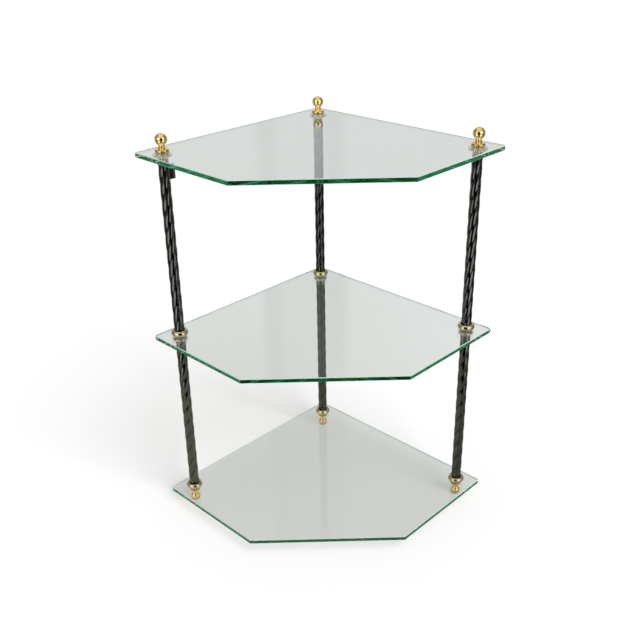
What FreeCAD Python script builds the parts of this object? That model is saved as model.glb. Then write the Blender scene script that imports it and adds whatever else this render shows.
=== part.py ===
import FreeCAD, Part
import Sketcher
import math
import os

# Corner etagere: three glass shelves on three twisted steel columns.
# Each post is a stack clamped by one tie rod: ball foot, bottom glass, collar,
# column, cap, middle glass, collar, column, cap, top glass, ball finial.
# Row frame: z = 0 is the floor under the ball feet, +y is the room corner side,
# -y is the open front, and the origin is the middle of the footprint.

V = FreeCAD.Vector
doc = FreeCAD.newDocument("etagere")

# ---------------------------------------------------------------- dimensions
sheet = doc.addObject("Spreadsheet::Sheet", "Sizes")
CELLS = [
    # glass shelves
    ("shelf_side", 420.0),        # side of the square the shelf is cut from
    ("shelf_short_side", 226.5),  # what is left of the two sides cut by the front
    ("glass_thick", 8.0),
    ("glass_arris", 1.0),
    ("corner_round", 4.5),        # left, right and back corners
    ("front_round", 4.0),         # the two blunt front corners
    ("post_inset", 45.3),         # corner point to post axis, along the diagonal
    ("glass_hole_radius", 4.0),
    ("shelf_pitch", 327.6),       # top face to top face
    # clear washers between glass and metal
    ("washer_thick", 0.8),
    ("washer_bore_radius", 3.0),
    ("cap_washer_radius", 11.6),
    ("collar_washer_radius", 11.6),
    ("finial_washer_radius", 11.0),
    ("foot_washer_radius", 8.3),
    # twisted columns
    ("column_radius", 9.05),
    ("strand_offset", 1.4),
    ("twist_pitch", 87.0),
    ("groove_depth", 0.85),
    ("groove_half_angle", 5.5),
    ("column_bore_radius", 5.6),
    # collars
    ("collar_height", 10.5),
    ("collar_radius", 15.0),
    ("collar_base_radius", 12.2),
    ("collar_lip_radius", 12.0),
    ("collar_bore_radius", 10.3),
    ("collar_floor", 2.5),
    ("collar_hole_radius", 2.8),
    ("collar_belly", 5.3),        # height of the widest circle
    # caps on top of the columns, under the middle and the top glass
    ("cap_radius", 12.6),
    ("top_cap_radius", 15.8),
    ("cap_thick", 4.4),
    ("cap_hole_radius", 2.8),
    # ball finials
    ("finial_ball_radius", 10.05),
    ("finial_ball_height", 19.4),
    ("finial_neck_radius", 5.1),
    ("finial_flange_radius", 11.7),
    ("finial_flange_thick", 4.2),
    ("finial_bore_depth", 16.0),
    # ball feet
    ("foot_height", 26.0),
    ("foot_ball_radius", 9.1),
    ("foot_ball_drop", 17.4),     # flange face down to the ball centre
    ("foot_neck_radius", 5.0),
    ("foot_flange_radius", 9.4),
    ("foot_flange_thick", 3.8),
    ("foot_bore_depth", 14.0),
    # tie rods
    ("rod_radius", 2.5),
    ("rod_end_play", 1.0),
    ("thread_bore_radius", 2.6),
    # lug on the left upper column
    ("lug_drop", 20.3),           # glass underside down to the lug's top
    ("lug_tall", 18.9),
    ("lug_seat_radius", 9.2),
    ("lug_web_thick", 2.6),
    ("lug_bead_radius", 3.2),
    ("lug_bead_reach", 17.9),
    ("lug_turn", 45.0),
]
SIZE = {}
for row, (alias, number) in enumerate(CELLS, start=1):
    sheet.set("A%d" % row, alias)
    sheet.set("B%d" % row, repr(number))
    sheet.setAlias("B%d" % row, alias)
    SIZE[alias] = number
doc.recompute()


class Dim:
    """A number together with the cell expression that it comes from."""

    def __init__(self, number, text):
        self.number, self.text = float(number), text

    def __add__(self, o):
        o = dim(o)
        return Dim(self.number + o.number, "(%s + %s)" % (self.text, o.text))

    def __sub__(self, o):
        o = dim(o)
        return Dim(self.number - o.number, "(%s - %s)" % (self.text, o.text))

    def __mul__(self, o):
        o = dim(o)
        return Dim(self.number * o.number, "(%s * %s)" % (self.text, o.text))

    def __truediv__(self, o):
        o = dim(o)
        return Dim(self.number / o.number, "(%s / %s)" % (self.text, o.text))

    def __neg__(self):
        return Dim(-self.number, "(-1 * %s)" % self.text)


def dim(v):
    return v if isinstance(v, Dim) else Dim(v, repr(float(v)))


def cell(alias):
    return Dim(SIZE[alias], "Sizes." + alias)


def root(v):
    return Dim(math.sqrt(v.number), "sqrt(%s)" % v.text)


def chord(radius, height):
    """Half chord of a circle at a distance from its centre."""
    return root(radius * radius - height * height)


# --------------------------------------------------------------- body helpers
bodies = {}


def new_body(name):
    body = doc.addObject("PartDesign::Body", name)
    body.Label = name
    bodies[name] = body
    return body


def origin_item(body, role):
    return [o for o in body.Origin.OriginFeatures if o.Role == role][0]


def new_sketch(body, name, role):
    sk = body.newObject("Sketcher::SketchObject", name)
    sk.AttachmentSupport = [(origin_item(body, role), "")]
    sk.MapMode = "FlatFace"
    return sk


def pin_axis(sk, geo, pos, axis, value, tag):
    """Holds one coordinate of a sketch point at a distance from the origin."""
    value = dim(value)
    if abs(value.number) < 1e-9:
        sk.addConstraint(
            Sketcher.Constraint("PointOnObject", geo, pos, -2 if axis == "X" else -1)
        )
        return
    kind = "DistanceX" if axis == "X" else "DistanceY"
    if value.number > 0:
        c = Sketcher.Constraint(kind, -1, 1, geo, pos, value.number)
        text = value.text
    else:
        c = Sketcher.Constraint(kind, geo, pos, -1, 1, -value.number)
        text = (-value).text
    index = sk.addConstraint(c)
    sk.renameConstraint(index, tag)
    sk.setExpression("Constraints." + tag, text)


def outline(sk, points, arcs=None):
    """Closed outline through points, each an (x, y) pair of Dims.
    arcs maps the index of a segment to (radius Dim, point on the arc)."""
    arcs = arcs or {}
    n = len(points)
    at = [V(dim(x).number, dim(y).number, 0) for x, y in points]
    ids = []
    for i in range(n):
        a, b = at[i], at[(i + 1) % n]
        if i in arcs:
            # a sketch arc runs counter-clockwise, so a clockwise one is drawn
            # from its far end and joined with its ends swapped
            mid = arcs[i][1]
            if (mid - a).cross(b - mid).z > 0:
                ids.append((sk.addGeometry(Part.Arc(a, mid, b), False), 1, 2))
            else:
                ids.append((sk.addGeometry(Part.Arc(b, mid, a), False), 2, 1))
        else:
            gid = sk.addGeometry(Part.LineSegment(a, b), False)
            ids.append((gid, 1, 2))
    for i in range(n):
        g, _, end = ids[i]
        h, start, _ = ids[(i + 1) % n]
        sk.addConstraint(Sketcher.Constraint("Coincident", g, end, h, start))
    for i, (x, y) in enumerate(points):
        g, start, _ = ids[i]
        pin_axis(sk, g, start, "X", x, "x%d" % i)
        pin_axis(sk, g, start, "Y", y, "y%d" % i)
    for i, (radius, _) in arcs.items():
        index = sk.addConstraint(
            Sketcher.Constraint("Radius", ids[i][0], dim(radius).number)
        )
        sk.renameConstraint(index, "r%d" % i)
        sk.setExpression("Constraints.r%d" % i, dim(radius).text)


def circle(sk, x, y, radius, tag):
    gid = sk.addGeometry(
        Part.Circle(V(dim(x).number, dim(y).number, 0), V(0, 0, 1), dim(radius).number),
        False,
    )
    pin_axis(sk, gid, 3, "X", x, "x" + tag)
    pin_axis(sk, gid, 3, "Y", y, "y" + tag)
    index = sk.addConstraint(Sketcher.Constraint("Radius", gid, dim(radius).number))
    sk.renameConstraint(index, "r" + tag)
    sk.setExpression("Constraints.r" + tag, dim(radius).text)


def revolve(body, sk):
    rev = body.newObject("PartDesign::Revolution", "Turn")
    rev.Profile = sk
    rev.ReferenceAxis = (sk, ["V_Axis"])
    rev.Angle = 360.0
    sk.Visibility = False
    doc.recompute()
    return rev


def pad(body, sk, length):
    p = body.newObject("PartDesign::Pad", "Pad")
    p.Profile = sk
    p.setExpression("Length", dim(length).text)
    doc.recompute()
    return p


def cut(body, sk, name, length=None, reverse=False):
    """Pocket that must remove material; through all when no length is given."""
    before = body.Shape.Volume
    p = body.newObject("PartDesign::Pocket", name)
    p.Profile = sk
    if length is None:
        p.Type = "ThroughAll"
        p.Midplane = True
    else:
        p.Type = "Length"
        p.setExpression("Length", dim(length).text)
        p.Reversed = reverse
    doc.recompute()
    if not body.Shape.Volume < before - 1e-3:
        raise RuntimeError("%s.%s cuts nothing" % (body.Label, name))
    return p


def level(e):
    """Whether an edge lies in one horizontal plane."""
    z = e.Vertexes[0].Point.z
    middle_point = e.valueAt((e.FirstParameter + e.LastParameter) / 2.0)
    return all(abs(v.Point.z - z) < 1e-6 for v in e.Vertexes) and abs(middle_point.z - z) < 1e-6


def ring_edges(shape, radius, z):
    """Names of the circular edges about the z axis with this radius and height."""
    names = []
    for i, e in enumerate(shape.Edges, start=1):
        if e.Degenerated:
            continue
        c = e.Curve
        if (
            isinstance(c, Part.Circle)
            and abs(c.Radius - radius) < 1e-3
            and abs(c.Center.z - z) < 1e-3
            and math.hypot(c.Center.x, c.Center.y) < 1e-3
        ):
            names.append("Edge%d" % i)
    return names


def dress(body, kind, prop, name, size, names):
    if not names:
        raise RuntimeError("%s.%s finds no edge" % (body.Label, name))
    base = body.Tip
    f = body.newObject("PartDesign::" + kind, name)
    f.Base = (base, names)
    if isinstance(size, Dim):
        f.setExpression(prop, size.text)
    else:
        setattr(f, prop, size)
    doc.recompute()
    return f


def place(body, x, y, z, turn=0.0):
    body.Placement = FreeCAD.Placement(
        V(dim(x).number, dim(y).number, dim(z).number),
        FreeCAD.Rotation(V(0, 0, 1), turn),
    )
    body.setExpression("Placement.Base.x", dim(x).text)
    body.setExpression("Placement.Base.y", dim(y).text)
    body.setExpression("Placement.Base.z", dim(z).text)


# ------------------------------------------------------------------ positions
half_diagonal = cell("shelf_side") / root(dim(2.0))
front_leg = cell("shelf_short_side") / root(dim(2.0))
# middle of the footprint in y, from the left-to-right diagonal of the shelf
middle = (
    half_diagonal - cell("corner_round") * (root(dim(2.0)) - dim(1.0)) - front_leg
) / 2.0
reach = half_diagonal - cell("post_inset")
POSTS = {
    "left": (-reach, -middle),
    "right": (reach, -middle),
    "back": (dim(0.0), reach - middle),
}

washer = cell("washer_thick")
glass = cell("glass_thick")
pitch = cell("shelf_pitch")
bottom_glass_z = cell("foot_height") + washer
bottom_top = bottom_glass_z + glass
middle_top = bottom_top + pitch
top_top = middle_top + pitch
column_length = pitch - glass - washer * 2.0 - cell("collar_floor") - cell("cap_thick")


# ---------------------------------------------------------------- glass shelf
def glass_shelf(name, z):
    """Square with its front corner cut off, three holes, every edge arrised."""
    body = new_body(name)
    sk = new_sketch(body, "Outline", "XY_Plane")
    outline(
        sk,
        [
            (-half_diagonal, -middle),
            (front_leg - half_diagonal, -front_leg - middle),
            (half_diagonal - front_leg, -front_leg - middle),
            (half_diagonal, -middle),
            (dim(0.0), half_diagonal - middle),
        ],
    )
    pad(body, sk, glass)
    upright = {"corner_round": [], "front_round": []}
    for i, e in enumerate(body.Shape.Edges, start=1):
        a, b = e.Vertexes[0].Point, e.Vertexes[-1].Point
        if abs(a.z - b.z) > 1.0:
            blunt = a.y < -front_leg.number - middle.number + 1.0
            upright["front_round" if blunt else "corner_round"].append("Edge%d" % i)
    dress(body, "Fillet", "Radius", "Corners", cell("corner_round"), upright["corner_round"])
    upright = []
    for i, e in enumerate(body.Shape.Edges, start=1):
        a, b = e.Vertexes[0].Point, e.Vertexes[-1].Point
        if abs(a.z - b.z) > 1.0 and a.y < -front_leg.number - middle.number + 1.0:
            upright.append("Edge%d" % i)
    dress(body, "Fillet", "Radius", "FrontCorners", cell("front_round"), upright)
    holes = new_sketch(body, "Holes", "XY_Plane")
    for side, (x, y) in POSTS.items():
        circle(holes, x, y, cell("glass_hole_radius"), side)
    cut(body, holes, "PostHoles")
    rim = []
    for i, e in enumerate(body.Shape.Edges, start=1):
        hole = isinstance(e.Curve, Part.Circle) and abs(
            e.Curve.Radius - SIZE["glass_hole_radius"]
        ) < 1e-6
        if level(e) and not hole:
            rim.append("Edge%d" % i)
    dress(body, "Chamfer", "Size", "Arris", cell("glass_arris"), rim)
    place(body, 0.0, 0.0, z)
    return body


glass_shelf("bottom_shelf_glass", bottom_glass_z)
glass_shelf("middle_shelf_glass", middle_top - glass)
glass_shelf("top_shelf_glass", top_top - glass)

# ------------------------------------------------------------ twisted columns
# Section of three shallow lobes with a V groove between each pair, swept up a
# straight spine while a helix turns it; the bore is left plain.
lobe_radius = cell("column_radius") - cell("strand_offset")


def lobe_point(k, angle, inset=0.0):
    """Point on lobe k at a polar angle from that lobe's own middle, in degrees."""
    a, e, r = math.radians(angle), SIZE["strand_offset"], lobe_radius.number
    reach_ = e * math.cos(a) + math.sqrt(r * r - (e * math.sin(a)) ** 2) - inset
    t = math.radians(120.0 * k + angle)
    return V(reach_ * math.cos(t), reach_ * math.sin(t), 0)


def column(name, side, z, length, guide, turn):
    body = new_body(name)
    section = new_sketch(body, "Section", "XY_Plane")
    half = 60.0 - SIZE["groove_half_angle"]
    for k in range(3):
        section.addGeometry(
            Part.Arc(lobe_point(k, -half), lobe_point(k, 0.0), lobe_point(k, half)), False
        )
        valley = lobe_point(k, 60.0, SIZE["groove_depth"])
        section.addGeometry(Part.LineSegment(lobe_point(k, half), valley), False)
        section.addGeometry(Part.LineSegment(valley, lobe_point(k + 1, -half)), False)
    for k in range(3):
        g = 3 * k
        section.addConstraint(Sketcher.Constraint("Coincident", g, 2, g + 1, 1))
        section.addConstraint(Sketcher.Constraint("Coincident", g + 1, 2, g + 2, 1))
        section.addConstraint(Sketcher.Constraint("Coincident", g + 2, 2, (g + 3) % 9, 1))
        index = section.addConstraint(Sketcher.Constraint("Radius", g, lobe_radius.number))
        section.renameConstraint(index, "lobe%d" % k)
        section.setExpression("Constraints.lobe%d" % k, lobe_radius.text)
        t = math.radians(120.0 * k)
        for axis, trig in (("X", math.cos(t)), ("Y", math.sin(t))):
            pin_axis(
                section,
                g,
                3,
                axis,
                cell("strand_offset") * (trig if abs(trig) > 1e-9 else 0.0),
                "centre%s%d" % (axis, k),
            )
        # the ends of each lobe and the bottom of each groove stay where drawn
        for tag, gid, pos, p in (
            ("a", g, 1, lobe_point(k, -half)),
            ("b", g, 2, lobe_point(k, half)),
        ):
            index = section.addConstraint(
                Sketcher.Constraint("DistanceX", -1, 1, gid, pos, p.x)
                if p.x > 0
                else Sketcher.Constraint("DistanceX", gid, pos, -1, 1, -p.x)
            )
            section.renameConstraint(index, "end%s%d" % (tag, k))
        p = lobe_point(k, 60.0, SIZE["groove_depth"])
        for axis, v in (("X", p.x), ("Y", p.y)):
            pin_axis(section, g + 1, 2, axis, v if abs(v) > 1e-9 else 0.0, "valley%s%d" % (axis, k))
    spine = new_sketch(body, "Spine", "XZ_Plane")
    spine.addGeometry(
        Part.LineSegment(V(0, 0, 0), V(0, length.number, 0)), False
    )
    spine.addConstraint(Sketcher.Constraint("Coincident", 0, 1, -1, 1))
    pin_axis(spine, 0, 2, "X", 0.0, "plumb")
    pin_axis(spine, 0, 2, "Y", length, "rise")
    doc.recompute()
    pipe = body.newObject("PartDesign::AdditivePipe", "Twist")
    pipe.Profile = section
    pipe.Spine = (spine, ["Edge1"])
    pipe.Mode = "Auxiliary"
    pipe.AuxiliarySpine = (guide, ["Edge1"])
    pipe.AuxiliaryCurvilinear = False
    doc.recompute()
    wire = Part.Wire(Part.sortEdges(section.Shape.Edges)[0])
    solid = Part.Face(wire).Area * length.number
    if abs(body.Shape.Volume / solid - 1.0) > 1e-3:
        raise RuntimeError("%s is not the swept section" % name)
    bore = new_sketch(body, "Bore", "XY_Plane")
    circle(bore, 0.0, 0.0, cell("column_bore_radius"), "bore")
    cut(body, bore, "RodBore")
    x, y = POSTS[side]
    place(body, x, y, z, turn)
    return body


def twist_guide(name, length):
    helix = doc.addObject("Part::Helix", name)
    helix.Label = name
    helix.setExpression("Pitch", cell("twist_pitch").text)
    helix.setExpression("Height", length.text)
    helix.Radius = 20.0
    doc.recompute()
    return helix


guide = twist_guide("TwistGuide", column_length)

lower_z = bottom_top + washer + cell("collar_floor")
upper_z = middle_top + washer + cell("collar_floor")
TURNS = {
    "lower_column_left": 77.0,
    "lower_column_right": 74.0,
    "lower_column_back": 20.0,
    "upper_column_left": 93.0,
    "upper_column_right": 14.0,
    "upper_column_back": 110.0,
}
for name, turn in TURNS.items():
    z = lower_z if name.startswith("lower") else upper_z
    column(name, name.split("_")[-1], z, column_length, guide, turn)


# --------------------------------------------------------------------- collars
def collar(name, side, z):
    """Bead-shaped cup: the column stands on its floor with a gap all round."""
    body = new_body(name)
    sk = new_sketch(body, "Profile", "XZ_Plane")
    tall, base = cell("collar_height"), cell("collar_base_radius")
    lip, belly = cell("collar_lip_radius"), cell("collar_belly")
    wide = cell("collar_radius")
    outline(
        sk,
        [
            (cell("collar_hole_radius"), dim(0.0)),
            (base, dim(0.0)),
            (wide, belly),
            (lip, tall),
            (cell("collar_bore_radius") + 0.6, tall),
            (cell("collar_bore_radius"), tall - 0.6),
            (cell("collar_bore_radius"), cell("collar_floor")),
            (cell("collar_hole_radius"), cell("collar_floor")),
        ],
        {
            # lower flank and upper flank, each tangent to the upright at the belly
            1: (
                (belly * belly + (wide - base) * (wide - base)) / ((wide - base) * 2.0),
                flank_point(wide.number, belly.number, base.number, 0.0),
            ),
            2: (
                ((tall - belly) * (tall - belly) + (wide - lip) * (wide - lip))
                / ((wide - lip) * 2.0),
                flank_point(wide.number, belly.number, lip.number, tall.number),
            ),
        },
    )
    revolve(body, sk)
    x, y = POSTS[side]
    place(body, x, y, z)
    return body


def flank_point(wide, belly, end_r, end_z):
    """Middle of the arc that is upright at (wide, belly) and ends at (end_r, end_z)."""
    h, w = end_z - belly, wide - end_r
    r = (h * h + w * w) / (2.0 * w)
    a = math.asin(h / r) / 2.0
    return V(wide - r + r * math.cos(a), belly + r * math.sin(a), 0)


for side in POSTS:
    collar("bottom_collar_" + side, side, bottom_top + washer)
    collar("middle_collar_" + side, side, middle_top + washer)


# ------------------------------------------------------------------------ caps
def cap(name, side, z, radius):
    """Round-edged ring between the top of a column and the glass over it."""
    body = new_body(name)
    sk = new_sketch(body, "Profile", "XZ_Plane")
    wide, hole, thick = cell(radius), cell("cap_hole_radius"), cell("cap_thick")
    outline(
        sk,
        [(hole, dim(0.0)), (wide, dim(0.0)), (wide, thick), (hole, thick)],
    )
    revolve(body, sk)
    dress(body, "Fillet", "Radius", "LowerEdge", 2.2, ring_edges(body.Shape, wide.number, 0.0))
    dress(body, "Fillet", "Radius", "UpperEdge", 0.8, ring_edges(body.Shape, wide.number, thick.number))
    x, y = POSTS[side]
    place(body, x, y, z)
    return body


for side in POSTS:
    cap("middle_cap_" + side, side, lower_z + column_length, "cap_radius")
    cap("top_cap_" + side, side, upper_z + column_length, "top_cap_radius")


# --------------------------------------------------------------------- finials
def finial(name, side, z):
    """Ball on a short neck over a round-edged flange, bored from below."""
    body = new_body(name)
    sk = new_sketch(body, "Profile", "XZ_Plane")
    ball, centre = cell("finial_ball_radius"), cell("finial_ball_height")
    neck, flange = cell("finial_neck_radius"), cell("finial_flange_radius")
    thick = cell("finial_flange_thick")
    join = centre - chord(ball, neck)
    outline(
        sk,
        [
            (dim(0.0), dim(0.0)),
            (flange, dim(0.0)),
            (flange, thick),
            (neck, thick),
            (neck, join),
            (dim(0.0), centre + ball),
        ],
        {4: (ball, V(ball.number, centre.number, 0))},
    )
    revolve(body, sk)
    dress(body, "Fillet", "Radius", "NeckTop", 5.0, ring_edges(body.Shape, neck.number, join.number))
    dress(body, "Fillet", "Radius", "NeckFoot", 3.4, ring_edges(body.Shape, neck.number, thick.number))
    dress(body, "Fillet", "Radius", "FlangeTop", 2.6, ring_edges(body.Shape, flange.number, thick.number))
    dress(body, "Fillet", "Radius", "FlangeFoot", 1.3, ring_edges(body.Shape, flange.number, 0.0))
    bore = new_sketch(body, "Bore", "XY_Plane")
    circle(bore, 0.0, 0.0, cell("thread_bore_radius"), "bore")
    cut(body, bore, "ThreadBore", cell("finial_bore_depth"), True)
    x, y = POSTS[side]
    place(body, x, y, z)
    return body


# ------------------------------------------------------------------------ feet
def foot(name, side):
    """The same turning upside down: flange on top, ball below with a small flat."""
    body = new_body(name)
    sk = new_sketch(body, "Profile", "XZ_Plane")
    tall, ball = cell("foot_height"), cell("foot_ball_radius")
    centre = tall - cell("foot_ball_drop")
    neck, flange = cell("foot_neck_radius"), cell("foot_flange_radius")
    under = tall - cell("foot_flange_thick")
    join = centre + chord(ball, neck)
    outline(
        sk,
        [
            (dim(0.0), dim(0.0)),
            (chord(ball, centre), dim(0.0)),
            (neck, join),
            (neck, under),
            (flange, under),
            (flange, tall),
            (dim(0.0), tall),
        ],
        {1: (ball, V(ball.number, centre.number, 0))},
    )
    revolve(body, sk)
    dress(body, "Fillet", "Radius", "NeckFoot", 4.0, ring_edges(body.Shape, neck.number, join.number))
    dress(body, "Fillet", "Radius", "NeckTop", 1.6, ring_edges(body.Shape, neck.number, under.number))
    dress(body, "Fillet", "Radius", "FlangeFoot", 2.2, ring_edges(body.Shape, flange.number, under.number))
    dress(body, "Fillet", "Radius", "FlangeTop", 1.0, ring_edges(body.Shape, flange.number, tall.number))
    bore = new_sketch(body, "Bore", "XY_Plane")
    bore.AttachmentOffset = FreeCAD.Placement(V(0, 0, tall.number), FreeCAD.Rotation())
    bore.setExpression("AttachmentOffset.Base.z", tall.text)
    circle(bore, 0.0, 0.0, cell("thread_bore_radius"), "bore")
    cut(body, bore, "ThreadBore", cell("foot_bore_depth"))
    x, y = POSTS[side]
    place(body, x, y, 0.0)
    return body


# -------------------------------------------------------------------- tie rods
def tie_rod(name, side):
    """Rod from the foot's blind hole to the finial's, threaded into both."""
    body = new_body(name)
    low = cell("foot_height") - cell("foot_bore_depth") + cell("rod_end_play")
    high = top_top + washer + cell("finial_bore_depth") - cell("rod_end_play")
    sk = new_sketch(body, "Section", "XY_Plane")
    circle(sk, 0.0, 0.0, cell("rod_radius"), "rod")
    pad(body, sk, high - low)
    rims = ring_edges(body.Shape, SIZE["rod_radius"], 0.0) + ring_edges(
        body.Shape, SIZE["rod_radius"], (high - low).number
    )
    dress(body, "Chamfer", "Size", "Points", 0.5, rims)
    x, y = POSTS[side]
    place(body, x, y, low)
    return body


for side in POSTS:
    foot("foot_" + side, side)
    finial("finial_" + side, side, top_top + washer)
    tie_rod("tie_rod_" + side, side)


# --------------------------------------------------------------------- washers
def washer_set(name, rows):
    """Group of separate clear washers; rows are (outer radius cell, height Dim)."""
    rings = []
    for alias, z in rows:
        for side, (x, y) in POSTS.items():
            at = V(x.number, y.number, z.number)
            disc = Part.makeCylinder(SIZE[alias], washer.number, at)
            rings.append(
                disc.cut(Part.makeCylinder(SIZE["washer_bore_radius"], washer.number, at))
            )
    group = doc.addObject("Part::Feature", name)
    group.Label = name
    group.Shape = Part.makeCompound(rings)
    group.Placement = FreeCAD.Placement()
    bodies[name] = group
    return group


washer_set(
    "bottom_washers",
    [("foot_washer_radius", bottom_glass_z - washer), ("collar_washer_radius", bottom_top)],
)
washer_set(
    "middle_washers",
    [
        ("cap_washer_radius", middle_top - glass - washer),
        ("collar_washer_radius", middle_top),
    ],
)
washer_set(
    "top_washers",
    [("cap_washer_radius", top_top - glass - washer), ("finial_washer_radius", top_top)],
)

# ------------------------------------------------------------------------- lug
# Short upright bead on a web that hugs the side of the left upper column.
lug = new_body("column_lug")
sk = new_sketch(lug, "Section", "XY_Plane")
seat, web = cell("lug_seat_radius"), cell("lug_web_thick") / 2.0
bead, out = cell("lug_bead_radius"), cell("lug_bead_reach")
seat_x = chord(seat, web)
neck_x = out - chord(bead, web)
outline(
    sk,
    [(seat_x, -web), (neck_x, -web), (neck_x, web), (seat_x, web)],
    {
        1: (bead, V(out.number + bead.number, 0, 0)),
        3: (seat, V(seat.number, 0, 0)),
    },
)
pad(lug, sk, cell("lug_tall"))
flag = web.number * 2.0 * (neck_x - seat_x).number + math.pi * bead.number**2
if abs(lug.Shape.Volume / (flag * SIZE["lug_tall"]) - 1.0) > 0.1:
    raise RuntimeError("column_lug is not a bead on a web")
ends = []
for i, e in enumerate(lug.Shape.Edges, start=1):
    if (
        isinstance(e.Curve, Part.Circle)
        and abs(e.Curve.Radius - bead.number) < 1e-6
        and level(e)
    ):
        ends.append("Edge%d" % i)
dress(lug, "Chamfer", "Size", "BeadEnds", 0.5, ends)
place(
    lug,
    POSTS["left"][0],
    POSTS["left"][1],
    top_top - glass - cell("lug_drop") - cell("lug_tall"),
    SIZE["lug_turn"],
)

# ------------------------------------------------------------ checks and files
doc.recompute()
for obj in doc.Objects:
    bad = [s for s in obj.State if s in ("Invalid", "Error")]
    if bad:
        raise RuntimeError("%s (%s) is %s" % (obj.Name, obj.Label, bad))
for name, obj in bodies.items():
    shape = obj.Shape
    if shape.isNull() or not shape.isValid():
        raise RuntimeError("%s has no valid shape" % name)
    if shape.Volume <= 0 or not shape.Solids:
        raise RuntimeError("%s is not solid" % name)

os.makedirs("parts", exist_ok=True)
for name, obj in bodies.items():
    obj.Shape.exportStep(os.path.join("parts", name + ".step"))
    box = obj.Shape.BoundBox
    print(
        "%-22s solids %d  volume %.1f  z %.2f to %.2f"
        % (name, len(obj.Shape.Solids), obj.Shape.Volume, box.ZMin, box.ZMax)
    )
print("nodes", len(bodies))
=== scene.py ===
import math

import bpy
from mathutils import Matrix, Vector


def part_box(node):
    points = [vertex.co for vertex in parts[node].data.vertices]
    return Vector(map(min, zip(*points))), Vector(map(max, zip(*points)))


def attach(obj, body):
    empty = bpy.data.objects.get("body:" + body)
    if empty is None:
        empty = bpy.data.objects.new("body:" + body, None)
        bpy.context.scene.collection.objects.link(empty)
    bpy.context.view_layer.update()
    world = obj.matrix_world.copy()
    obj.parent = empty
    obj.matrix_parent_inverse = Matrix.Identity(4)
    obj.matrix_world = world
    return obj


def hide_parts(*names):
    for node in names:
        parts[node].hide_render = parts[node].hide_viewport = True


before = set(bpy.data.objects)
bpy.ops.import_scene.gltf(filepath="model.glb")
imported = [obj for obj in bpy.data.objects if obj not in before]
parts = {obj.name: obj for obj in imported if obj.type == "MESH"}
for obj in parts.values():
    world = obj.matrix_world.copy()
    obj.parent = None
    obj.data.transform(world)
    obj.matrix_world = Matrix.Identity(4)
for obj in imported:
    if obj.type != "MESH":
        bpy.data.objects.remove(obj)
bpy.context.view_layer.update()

scene = bpy.context.scene

SIDES = ("left", "right", "back")
POSTS = {}
for side in SIDES:
    a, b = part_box("tie_rod_" + side)
    POSTS[side] = ((a.x + b.x) / 2, (a.y + b.y) / 2)


# ------------------------------------------------------------------ node tools
class Nodes:
    """Short ways to write a node tree."""

    def __init__(self, owner):
        owner.use_nodes = True
        self.tree = owner.node_tree
        self.tree.nodes.clear()

    def add(self, kind, sockets=None, **settings):
        n = self.tree.nodes.new(kind)
        for key, value in settings.items():
            setattr(n, key, value)
        for key, value in (sockets or {}).items():
            self.put(n.inputs[key], value)
        return n

    def put(self, socket, value):
        if isinstance(value, bpy.types.NodeSocket):
            self.tree.links.new(value, socket)
        elif isinstance(value, bpy.types.Node):
            self.tree.links.new(value.outputs[0], socket)
        elif isinstance(value, (tuple, list)) and socket.type == "RGBA":
            socket.default_value = (*value, 1.0) if len(value) == 3 else value
        else:
            socket.default_value = value

    def math(self, what, a, b=0.0, c=0.0, clamp=False):
        n = self.tree.nodes.new("ShaderNodeMath")
        n.operation, n.use_clamp = what, clamp
        for i, v in enumerate((a, b, c)):
            self.put(n.inputs[i], v)
        return n.outputs[0]

    def vmath(self, what, a, b=(0, 0, 0), scale=None):
        n = self.tree.nodes.new("ShaderNodeVectorMath")
        n.operation = what
        self.put(n.inputs[0], a)
        self.put(n.inputs[1], b)
        if scale is not None:
            self.put(n.inputs["Scale"], scale)
        return n.outputs["Value" if what in ("LENGTH", "DISTANCE", "DOT_PRODUCT") else 0]

    def split(self, v):
        return self.add("ShaderNodeSeparateXYZ", {0: v}).outputs

    def join(self, x, y, z):
        return self.add("ShaderNodeCombineXYZ", {0: x, 1: y, 2: z}).outputs[0]

    def ease(self, v, a, b, low=0.0, high=1.0):
        """low at a, high at b, smooth between."""
        n = self.add("ShaderNodeMapRange", {0: v, 1: a, 2: b, 3: low, 4: high})
        n.interpolation_type = "SMOOTHSTEP"
        return n.outputs[0]

    def slide(self, v, a, b, low=0.0, high=1.0):
        return self.add("ShaderNodeMapRange", {0: v, 1: a, 2: b, 3: low, 4: high}).outputs[0]

    def band(self, v, a, b, soft):
        """1 between a and b, falling to 0 over soft on each side."""
        return self.math("MULTIPLY", self.ease(v, a - soft, a + soft), self.ease(v, b + soft, b - soft))

    def mix(self, f, a, b, blend="MIX"):
        n = self.tree.nodes.new("ShaderNodeMix")
        n.data_type, n.blend_type, n.clamp_factor = "RGBA", blend, True
        self.put(n.inputs[0], f)
        self.put(n.inputs[6], a)
        self.put(n.inputs[7], b)
        return n.outputs[2]

    def noise(self, v, scale, detail=3.0, rough=0.5, out=0, distortion=0.0):
        n = self.add(
            "ShaderNodeTexNoise",
            {"Vector": v, "Scale": scale, "Detail": detail, "Roughness": rough, "Distortion": distortion},
        )
        return n.outputs[out]

    def shader(self, surface, volume=None):
        out = self.add("ShaderNodeOutputMaterial")
        self.put(out.inputs["Surface"], surface)
        if volume is not None:
            self.put(out.inputs["Volume"], volume)


def material(name):
    m = bpy.data.materials.new(name)
    return m, Nodes(m)


def place(n):
    """Where a point is, in metres, in the frame of the whole piece."""
    return n.add("ShaderNodeTexCoord").outputs["Object"]


def dress(names, mat):
    for name in names:
        mesh = parts[name].data
        for i in range(len(mesh.materials)):
            mesh.materials[i] = mat


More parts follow.
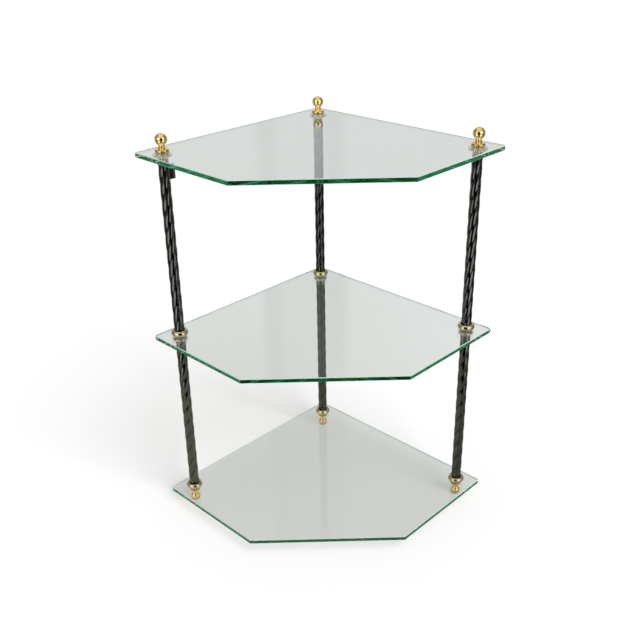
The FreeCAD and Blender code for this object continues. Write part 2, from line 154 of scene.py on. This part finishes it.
# ---------------------------------------------------------------------- camera
def aim(cam, where, down, turn, roll):
    down, turn, roll = (math.radians(v) for v in (down, turn, roll))
    ahead0 = Vector((-math.sin(turn), math.cos(turn), 0))
    right0 = Vector((math.cos(turn), math.sin(turn), 0))
    ahead = math.cos(down) * ahead0 + Vector((0, 0, -math.sin(down)))
    up0 = math.sin(down) * ahead0 + Vector((0, 0, math.cos(down)))
    right = math.cos(roll) * right0 + math.sin(roll) * up0
    up = -math.sin(roll) * right0 + math.cos(roll) * up0
    m = Matrix((right, up, -ahead)).transposed().to_4x4()
    m.translation = Vector(where)
    cam.matrix_world = m


cam_data = bpy.data.cameras.new("camera")
cam = bpy.data.objects.new("camera", cam_data)
scene.collection.objects.link(cam)
cam_data.sensor_width = 36.0
cam_data.lens = 859.8 / 640 * 36.0
cam_data.clip_start, cam_data.clip_end = 0.05, 100.0
aim(cam, (-0.01946, -1.41468, 1.05387), 26.3747, -0.6035, -0.9621)
scene.camera = cam

# ----------------------------------------------------------------------- stage
def off_metal(n, path):
    """1 for what metal mirrors, straight or through a shelf, and what a shelf's face mirrors."""
    depth = path["Glossy Depth"]
    few = n.math("MULTIPLY", n.math("GREATER_THAN", depth, 0.5), n.math("LESS_THAN", depth, 3.5))
    through = n.math("MULTIPLY", path["Is Transmission Ray"], few)
    straight = n.math("MULTIPLY", path["Is Glossy Ray"], path["Is Reflection Ray"])
    return n.math("MAXIMUM", straight, through)


def mirrored_twice(n, path):
    """More light on what a shelf's face shows of the brass above it."""
    twice = n.math("MULTIPLY", path["Is Reflection Ray"], n.math("GREATER_THAN", path["Glossy Depth"], 1.5))
    return n.math("ADD", 1.0, n.math("MULTIPLY", twice, 0.5))


def post_radius(n, where):
    """Distance from the nearest post axis."""
    flat = n.vmath("MULTIPLY", where, (1, 1, 0))
    r = None
    for side in SIDES:
        q = n.vmath("DISTANCE", flat, (*POSTS[side], 0.0))
        r = q if r is None else n.math("MINIMUM", r, q)
    return r


bpy.ops.mesh.primitive_plane_add(size=60.0, location=(0, 0, 0))
floor = bpy.context.object
floor.name = "floor"
m, n = material("floor_paper")
path = n.add("ShaderNodeLightPath").outputs
where = place(n)
x, y, z = n.split(where)[:3]
grain = n.noise(where, 3.0, 2.0)
pale = n.mix(grain, (0.900, 0.900, 0.900), (0.910, 0.910, 0.910))
# painted light and shade: rays through the shelves see a darker copy of the paper, lighter close to the unit and
# towards the right, darker far off
seen_in_glass = n.mix(grain, (0.630, 0.626, 0.616), (0.640, 0.636, 0.626))
close_by = n.mix(grain, (0.716, 0.695, 0.680), (0.730, 0.709, 0.694))
midway = n.mix(grain, (0.684, 0.674, 0.664), (0.696, 0.686, 0.676))
midway = n.mix(n.ease(x, 0.05, 0.40), midway, (0.750, 0.740, 0.738))
close_by = n.mix(n.ease(y, 0.30, 0.55), close_by, midway)
seen_in_glass = n.mix(n.ease(y, 1.7, 0.9), seen_in_glass, close_by)
lit = n.add("ShaderNodeBsdfDiffuse", {"Color": n.mix(path["Is Camera Ray"], seen_in_glass, pale)})
# painted reflection: what the metal mirrors of the floor is painted light: pale paper near, light from two soft boxes
# on it, painted shade at the far sides, and painted shade in front where the room is dark
beside = n.math("ABSOLUTE", x)
near = n.math("SUBTRACT", 0.60, n.math("MULTIPLY", n.ease(beside, 0.55, 1.00, 0.0, 0.45), n.ease(y, 0.9, 0.3)))
# painted shade: the mirrored floor is darker towards the right
near = n.math("MULTIPLY", near, n.ease(x, 0.0, 0.30, 1.0, 0.68))
out_there = n.vmath("LENGTH", n.vmath("MULTIPLY", where, (1, 1, 0)))
bearing = n.math("ABSOLUTE", n.math("MULTIPLY", n.math("ARCTAN2", x, n.math("MULTIPLY", y, -1.0)), 180 / math.pi))
sheet = n.math("MULTIPLY", n.math("MULTIPLY", n.ease(bearing, 62, 54), n.ease(beside, 0.36, 0.46)), n.ease(out_there, 0.72, 0.95))
sheet = n.math("MULTIPLY", sheet, n.ease(out_there, 2.7, 2.1, 0.15, 1.0))
tone = n.math("ADD", n.math("MULTIPLY", near, n.math("SUBTRACT", 1.0, sheet)), n.math("MULTIPLY", sheet, 1.7))
gloom = n.math("MULTIPLY", n.ease(beside, 0.46, 0.36), n.ease(y, -0.42, -0.60))
tone = n.math("MULTIPLY", tone, n.math("SUBTRACT", 1.0, n.math("MULTIPLY", gloom, 0.985)))
tone = n.math("MULTIPLY", tone, mirrored_twice(n, path))
# painted shadow: the mirrored floor is darker round the foot of each post
tone = n.math("MULTIPLY", tone, n.ease(post_radius(n, where), 0.004, 0.035, 0.70, 1.0))
painted_floor_reflection = n.add("ShaderNodeEmission", {"Color": (1, 0.985, 0.95), "Strength": tone})
# painted light: for rays through the shelves the floor partly glows, which softens the shadows seen through the glass
glow = n.add("ShaderNodeEmission", {"Color": seen_in_glass, "Strength": 0.97})
faint = n.math("MULTIPLY", path["Is Transmission Ray"], 0.6)
lit = n.add("ShaderNodeMixShader", {0: faint, 1: lit.outputs[0], 2: glow.outputs[0]})
n.shader(n.add("ShaderNodeMixShader", {0: off_metal(n, path), 1: lit.outputs[0], 2: painted_floor_reflection.outputs[0]}))
m.cycles.emission_sampling = "NONE"
floor.data.materials.append(m)

# painted reflection: a dark card that only mirror rays see, standing in for the dark part of the room in front
mesh = bpy.data.meshes.new("dark_reflection_card")
mesh.from_pydata([(-0.42, -0.87, 0.06), (0.40, -0.87, 0.06), (0.40, -0.87, 1.28), (-0.42, -0.87, 1.28)], [], [(0, 1, 2, 3)])
gap = bpy.data.objects.new("dark_reflection_card", mesh)
scene.collection.objects.link(gap)
m, n = material("painted_dark_reflection")
n.shader(n.add("ShaderNodeEmission", {"Color": n.mix(n.noise(place(n), 5.0), (0.020, 0.018, 0.015), (0.035, 0.031, 0.027)), "Strength": 1.0}))
m.cycles.emission_sampling = "NONE"
mesh.materials.append(m)
gap.visible_camera = gap.visible_diffuse = gap.visible_transmission = gap.visible_shadow = False

# ----------------------------------------------------------------------- world
world = bpy.data.worlds.new("studio")
scene.world = world
n = Nodes(world)
path = n.add("ShaderNodeLightPath").outputs
d = n.add("ShaderNodeTexCoord").outputs["Generated"]
dx, dy, dz = n.split(n.vmath("NORMALIZE", d))[:3]
to_degrees = 180 / math.pi
az = n.math("MULTIPLY", n.math("ARCTAN2", dx, n.math("MULTIPLY", dy, -1.0)), to_degrees)
el = n.math("MULTIPLY", n.math("ARCSINE", dz), to_degrees)
away = n.math("ABSOLUTE", az)
wall = n.math("ADD", n.ease(el, 12, 26, 0.60, 0.72), n.ease(el, 28, 37, 0.0, -0.46))
# two hanging folds in the cloth behind, with a slightly duller stretch between them
aside = n.math("MULTIPLY", n.math("ARCTAN2", dx, dy), to_degrees)
folds = n.math("ADD", n.band(aside, -3.4, -2.2, 0.35), n.band(aside, 1.0, 2.4, 0.45))
folds = n.math("MULTIPLY", folds, n.ease(el, 15, 25, 0.15, 0.20))
between = n.math("MULTIPLY", n.band(aside, -3.6, 2.7, 0.5), n.ease(el, 15, 25, 0.08, 0.26))
wall = n.math("MULTIPLY", wall, n.math("SUBTRACT", 1.0, n.math("ADD", folds, between)))
tone = n.math("ADD", n.ease(away, 72, 95, 0.45, 0.25), n.math("MULTIPLY", n.ease(away, 138, 156), wall))
high = n.ease(el, 42, 62)
tone = n.math("ADD", n.math("MULTIPLY", tone, n.math("SUBTRACT", 1.0, high)), n.math("MULTIPLY", high, 0.85))
box = n.math("MULTIPLY", n.band(az, -62, 64, 3.0), n.ease(el, 44, 36))
tone = n.math("ADD", n.math("MULTIPLY", tone, n.math("SUBTRACT", 1.0, box)), n.math("MULTIPLY", box, 1.5))
dark = n.math("MULTIPLY", n.math("MULTIPLY", n.band(az, -24, 26, 4.0), n.ease(el, 50, 44)), path["Is Transmission Ray"])
tone = n.math("MULTIPLY", tone, n.math("SUBTRACT", 1.0, n.math("MULTIPLY", dark, 0.98)))
tone = n.math("MULTIPLY", tone, mirrored_twice(n, path))
mirror = off_metal(n, path)
strength = n.math("ADD", path["Is Camera Ray"], n.math("MULTIPLY", path["Is Diffuse Ray"], 0.50))
through = n.math("MULTIPLY", path["Is Transmission Ray"], n.math("SUBTRACT", 1.0, mirror))
strength = n.math("ADD", strength, n.math("MULTIPLY", through, 0.66))
strength = n.math("ADD", strength, n.math("MULTIPLY", mirror, tone))
back = n.add("ShaderNodeBackground", {"Color": (1, 1, 1), "Strength": strength})
out = n.add("ShaderNodeOutputWorld")
n.put(out.inputs["Surface"], back.outputs[0])
world.cycles.sampling_method = "NONE"


def sun(name, az, el, angle, power, colour=(1, 1, 1)):
    data = bpy.data.lights.new(name, "SUN")
    data.energy, data.angle, data.color = power, math.radians(angle), colour
    o = bpy.data.objects.new(name, data)
    scene.collection.objects.link(o)
    az, el = math.radians(az), math.radians(el)
    o.rotation_mode = "QUATERNION"
    o.rotation_quaternion = Vector(
        (math.sin(az) * math.cos(el), -math.cos(az) * math.cos(el), math.sin(el))
    ).to_track_quat("Z", "Y")
    o.visible_camera = o.visible_glossy = o.visible_transmission = False
    return o


sun("key", 38, 50, 31, 2.6)


# ------------------------------------------------------------------- materials
def make_glass():
    m, n = material("clear_float_glass")
    where = place(n)
    geo = n.add("ShaderNodeNewGeometry").outputs
    up = n.split(geo["True Normal"])[2]
    nz = n.math("ABSOLUTE", up)
    edge = n.ease(nz, 0.45, 0.30)  # 1 on the polished edges
    arris = n.band(up, 0.55, 0.85, 0.06)  # 1 on the ground 45 degree arrises
    rim = n.math("MAXIMUM", edge, arris)
    cloud = n.noise(where, 9.0, 4.0, 0.6)
    fine = n.noise(where, 900.0, 2.0, 0.5)
    face_tint = n.mix(cloud, (0.960, 0.972, 0.964), (0.980, 0.986, 0.982))
    ground = n.mix(n.noise(where, 60.0, 3.0), (0.86, 0.96, 0.91), (0.92, 0.98, 0.95))
    # painted shade: edges whose normal points sideways and frontwards are tinted greyer and pinker
    nx, ny = n.split(geo["True Normal"])[:2]
    slant = n.math("MULTIPLY", n.ease(n.math("ABSOLUTE", nx), 0.3, 0.6), n.ease(ny, 0.1, -0.1))
    ground = n.mix(slant, ground, (0.78, 0.73, 0.74))
    tint = n.mix(rim, face_tint, ground)
    smear = n.ease(n.noise(where, 14.0, 5.0, 0.65, distortion=0.6), 0.60, 0.78, 0.0, 0.035)
    speck = n.ease(n.noise(where, 260.0, 1.0, 0.3), 0.775, 0.80, 0.0, 0.22)
    line = n.noise(n.vmath("MULTIPLY", where, (16.0, 420.0, 16.0)), 1.0, 2.0, 0.5, distortion=0.4)
    line = n.math("MULTIPLY", n.ease(line, 0.735, 0.76, 0.0, 0.16), n.ease(n.noise(where, 11.0, 2.0), 0.52, 0.62))
    smear = n.math("MAXIMUM", smear, n.math("MAXIMUM", speck, line))
    rough = n.math("ADD", n.math("MULTIPLY", smear, n.math("SUBTRACT", 1.0, rim)), n.math("MULTIPLY", rim, n.slide(fine, 0.3, 0.7, 0.07, 0.10)))
    glass = n.add(
        "ShaderNodeBsdfPrincipled",
        {"Base Color": tint, "Roughness": rough, "IOR": 1.52, "Transmission Weight": 1.0},
    )
    frost = n.add(
        "ShaderNodeBsdfDiffuse",
        {"Color": n.mix(fine, (0.62, 0.80, 0.70), (0.78, 0.92, 0.85))},
    )
    # a thin veil of dust, thicker in smudges and along fine scratches
    dust = n.math("ADD", 0.052, n.ease(n.noise(where, 23.0, 5.0, 0.7, distortion=1.2), 0.55, 0.75, 0.0, 0.025))
    scratch = n.noise(n.vmath("MULTIPLY", where, (260.0, 9.0, 9.0)), 1.0, 3.0, 0.6, distortion=1.5)
    scratch = n.math("MULTIPLY", n.ease(scratch, 0.66, 0.70, 0.0, 0.05), n.ease(n.noise(where, 17.0, 2.0), 0.56, 0.64))
    outside = n.math("MULTIPLY", n.math("SUBTRACT", 1.0, rim), n.math("SUBTRACT", 1.0, geo["Backfacing"]))
    dust = n.math("MULTIPLY", n.math("ADD", dust, scratch), outside)
    film = n.add("ShaderNodeBsdfDiffuse", {"Color": n.mix(cloud, (0.74, 0.75, 0.74), (0.80, 0.81, 0.80))})
    dusty = n.add("ShaderNodeMixShader", {0: dust, 1: glass.outputs[0], 2: film.outputs[0]})
    frosted = n.add("ShaderNodeMixShader", {0: n.math("MULTIPLY", arris, n.slide(fine, 0.3, 0.7, 0.5, 0.75)), 1: dusty.outputs[0], 2: frost.outputs[0]})
    clear = n.add("ShaderNodeBsdfTransparent", {"Color": n.mix(edge, (0.932, 0.908, 0.908), (0.50, 0.60, 0.55))})
    path = n.add("ShaderNodeLightPath").outputs
    soft = n.math("MAXIMUM", path["Is Shadow Ray"], path["Is Diffuse Ray"])
    surface = n.add("ShaderNodeMixShader", {0: soft, 1: frosted.outputs[0], 2: clear.outputs[0]})
    body = n.add("ShaderNodeVolumeAbsorption", {"Color": (0.1875, 0.730, 0.540), "Density": 8.6})
    n.shader(surface.outputs[0], body.outputs[0])
    return m


def make_steel():
    m, n = material("black_nickel_steel")
    where = place(n)
    r = post_radius(n, where)
    ridge = n.ease(r, 0.00825, 0.00885)
    cloud = n.noise(where, 40.0, 4.0, 0.6)
    streak = n.noise(n.vmath("MULTIPLY", where, (900.0, 900.0, 60.0)), 1.0, 3.0, 0.6)
    height = n.ease(n.split(where)[2], 0.22, 0.42)
    # painted reflection: the lower columns get a lighter, more olive base and the upper ones a darker, greyer one,
    # standing in for what each part mirrors
    lower = n.mix(cloud, (0.112, 0.110, 0.086), (0.142, 0.138, 0.108))
    upper = n.mix(cloud, (0.084, 0.088, 0.082), (0.122, 0.127, 0.118))
    base = n.mix(height, lower, upper)
    # painted shade: the back column is darker
    base = n.mix(n.ease(n.split(where)[1], 0.02, 0.12, 0.0, 0.30), base, (0.0, 0.0, 0.0))
    # painted shade: the lower right column is darker
    painted_shade_right = n.math("MULTIPLY", n.ease(n.split(where)[0], 0.10, 0.20, 0.0, 0.22), n.math("SUBTRACT", 1.0, height))
    base = n.mix(painted_shade_right, base, (0.0, 0.0, 0.0))
    # painted shade: the grooves between the strands are darkened nearly to black, more on the upper columns
    base = n.mix(n.math("MULTIPLY", n.math("SUBTRACT", 1.0, ridge), n.slide(height, 0.0, 1.0, 0.15, 0.40)), base, (0.012, 0.012, 0.009))
    base = n.mix(n.math("MULTIPLY", n.ease(streak, 0.62, 0.78), 0.35), base, (0.24, 0.24, 0.215))
    rough = n.math("ADD", n.slide(cloud, 0.3, 0.7, 0.05, 0.08), n.ease(streak, 0.55, 0.80, 0.0, 0.04))
    drawn = n.noise(n.vmath("MULTIPLY", where, (420.0, 420.0, 22.0)), 1.0, 2.0, 0.5)  # drawing lines along the tube
    wavy = n.add("ShaderNodeBump", {"Strength": 0.6, "Distance": 0.00016, "Height": drawn})
    bump = n.add("ShaderNodeBump", {"Strength": 0.10, "Distance": 0.00004, "Height": streak, "Normal": wavy.outputs[0]})
    s = n.add(
        "ShaderNodeBsdfPrincipled",
        {"Base Color": base, "Metallic": 1.0, "Roughness": rough, "Normal": bump.outputs[0]},
    )
    n.shader(s.outputs[0])
    return m


def make_brass(name, low, high, tarnish, rough_low, rough_high, mirrored=None):
    m, n = material(name)
    where = place(n)
    cloud = n.noise(where, 160.0, 4.0, 0.6)
    fine = n.noise(n.vmath("MULTIPLY", where, (700.0, 700.0, 2600.0)), 1.0, 3.0, 0.6)
    base = n.mix(cloud, low, high)
    base = n.mix(n.math("MULTIPLY", n.ease(n.noise(where, 420.0, 3.0), 0.58, 0.75), 0.4), base, tarnish)
    if mirrored:
        height = n.split(where)[2]
        # painted shade: the flange zone of each finial is tinted a deeper orange, darker on the front finials than on
        # the back one
        low_down = n.math("MULTIPLY", n.ease(height, 0.7035, 0.6975), n.ease(height, 0.3, 0.4, 0.0, 0.65))
        warm = n.mix(n.ease(n.split(where)[1], 0.05, 0.12), (0.67, 0.37, 0.09), (0.88, 0.50, 0.11))
        base = n.mix(low_down, base, warm)
        base = n.mix(n.ease(height, 0.05, 0.03, 0.0, 0.50), base, (0.97, 0.62, 0.20))
        # painted reflection: in mirror rays, such as the image in a shelf's face, the brass takes the paler mirrored
        # colour
        path = n.add("ShaderNodeLightPath").outputs
        base = n.mix(n.math("MULTIPLY", path["Is Glossy Ray"], path["Is Reflection Ray"]), base, mirrored)
    rough = n.math("ADD", n.slide(cloud, 0.3, 0.7, rough_low, rough_high), n.ease(fine, 0.55, 0.8, 0.0, 0.05))
    bump = n.add("ShaderNodeBump", {"Strength": 0.15, "Distance": 0.00003, "Height": fine})
    s = n.add(
        "ShaderNodeBsdfPrincipled",
        {"Base Color": base, "Metallic": 1.0, "Roughness": rough, "Normal": bump.outputs[0]},
    )
    n.shader(s.outputs[0])
    return m


def make_zinc():
    m, n = material("zinc_plated_rod")
    where = place(n)
    cloud = n.noise(where, 220.0, 3.0)
    z = n.split(where)[2]
    thread = n.math("PINGPONG", z, 0.0004)
    bump = n.add("ShaderNodeBump", {"Strength": 1.0, "Distance": 1.0, "Height": thread})
    base = n.mix(cloud, (0.55, 0.56, 0.58), (0.68, 0.69, 0.70))
    s = n.add(
        "ShaderNodeBsdfPrincipled",
        {"Base Color": base, "Metallic": 1.0, "Roughness": n.slide(cloud, 0.3, 0.7, 0.25, 0.4), "Normal": bump.outputs[0]},
    )
    n.shader(s.outputs[0])
    return m


def make_washer():
    m, n = material("clear_soft_washer")
    where = place(n)
    cloud = n.noise(where, 300.0, 3.0)
    s = n.add(
        "ShaderNodeBsdfPrincipled",
        {
            "Base Color": n.mix(cloud, (0.22, 0.23, 0.15), (0.30, 0.31, 0.22)),
            "Roughness": n.slide(cloud, 0.3, 0.7, 0.22, 0.38),
            "IOR": 1.40,
            "Specular IOR Level": 0.0,
            "Alpha": 0.05,
        },
    )
    n.shader(s.outputs[0])
    return m


def washers(name, mat, rows):
    """Thin clear rings round each post with softened rims: rows are (outer radius, bottom, top)."""
    gap, soft, inner, turns = 0.00005, 0.0002, 0.0030, 64
    points, faces = [], []
    for side in SIDES:
        px, py = POSTS[side]
        for outer, low, high in rows:
            low, high = low + gap, high - gap
            mid = (low + high) / 2
            section = [
                (inner, mid), (inner + soft, low), (outer - soft, low),
                (outer - soft * 0.3, low + soft * 0.3), (outer, mid),
                (outer - soft * 0.3, high - soft * 0.3), (outer - soft, high), (inner + soft, high),
            ]
            start, k = len(points), len(section)
            for i in range(turns):
                t = 2 * math.pi * i / turns
                points += [(px + r * math.cos(t), py + r * math.sin(t), z) for r, z in section]
            for i in range(turns):
                for j in range(k):
                    a, b = start + i * k, start + (i + 1) % turns * k
                    faces.append((a + j, b + j, b + (j + 1) % k, a + (j + 1) % k))
    mesh = bpy.data.meshes.new(name)
    mesh.from_pydata(points, [], faces)
    mesh.materials.append(mat)
    mesh.validate()
    o = bpy.data.objects.new(name, mesh)
    scene.collection.objects.link(o)
    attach(o, "root")
    return o


glass = make_glass()
dress([t + "_shelf_glass" for t in ("top", "middle", "bottom")], glass)
steel = make_steel()
dress(["%s_column_%s" % (t, s) for t in ("upper", "lower") for s in SIDES] + ["column_lug"], steel)
gold = make_brass("polished_brass_ball", (0.88, 0.65, 0.25), (0.95, 0.74, 0.33), (0.62, 0.40, 0.12), 0.04, 0.08, (0.92, 0.80, 0.56))
dress([t + "_" + s for t in ("finial", "foot") for s in SIDES], gold)
pale_brass = make_brass("champagne_collar", (0.57, 0.495, 0.295), (0.67, 0.595, 0.38), (0.36, 0.30, 0.15), 0.10, 0.16)
dress(["%s_collar_%s" % (t, s) for t in ("middle", "bottom") for s in SIDES], pale_brass)
# painted light: the middle caps take a paler, rougher brass than the collars
rough_lit_cap = make_brass("rough_cap_painted_light", (0.56, 0.48, 0.38), (0.64, 0.56, 0.45), (0.42, 0.35, 0.26), 0.32, 0.44)
dress(["middle_cap_" + s for s in SIDES], rough_lit_cap)
# painted shade: the top caps, under the top shelf, take a much darker brass
shaded_cap = make_brass("painted_shade_cap", (0.27, 0.245, 0.13), (0.34, 0.305, 0.175), (0.16, 0.13, 0.07), 0.14, 0.22)
dress(["top_cap_" + s for s in SIDES], shaded_cap)
dress(["tie_rod_" + s for s in SIDES], make_zinc())
clear = make_washer()
for t, under, over in (("top", 0.0116, 0.0110), ("middle", 0.0116, 0.0116), ("bottom", 0.0083, 0.0116)):
    low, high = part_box(t + "_washers")
    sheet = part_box(t + "_shelf_glass")
    rings = washers(t + "_clear_rings", clear, [(under, low.z, sheet[0].z), (over, sheet[1].z, high.z)])
    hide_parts(t + "_washers")

# ---------------------------------------------------------------- light paths
c = scene.cycles
c.max_bounces, c.transmission_bounces, c.glossy_bounces = 96, 96, 96
c.diffuse_bounces, c.transparent_max_bounces = 3, 24
c.use_denoising = True
c.sample_clamp_indirect = 12.0
c.blur_glossy = 0.0
scene.view_settings.view_transform = "Standard"
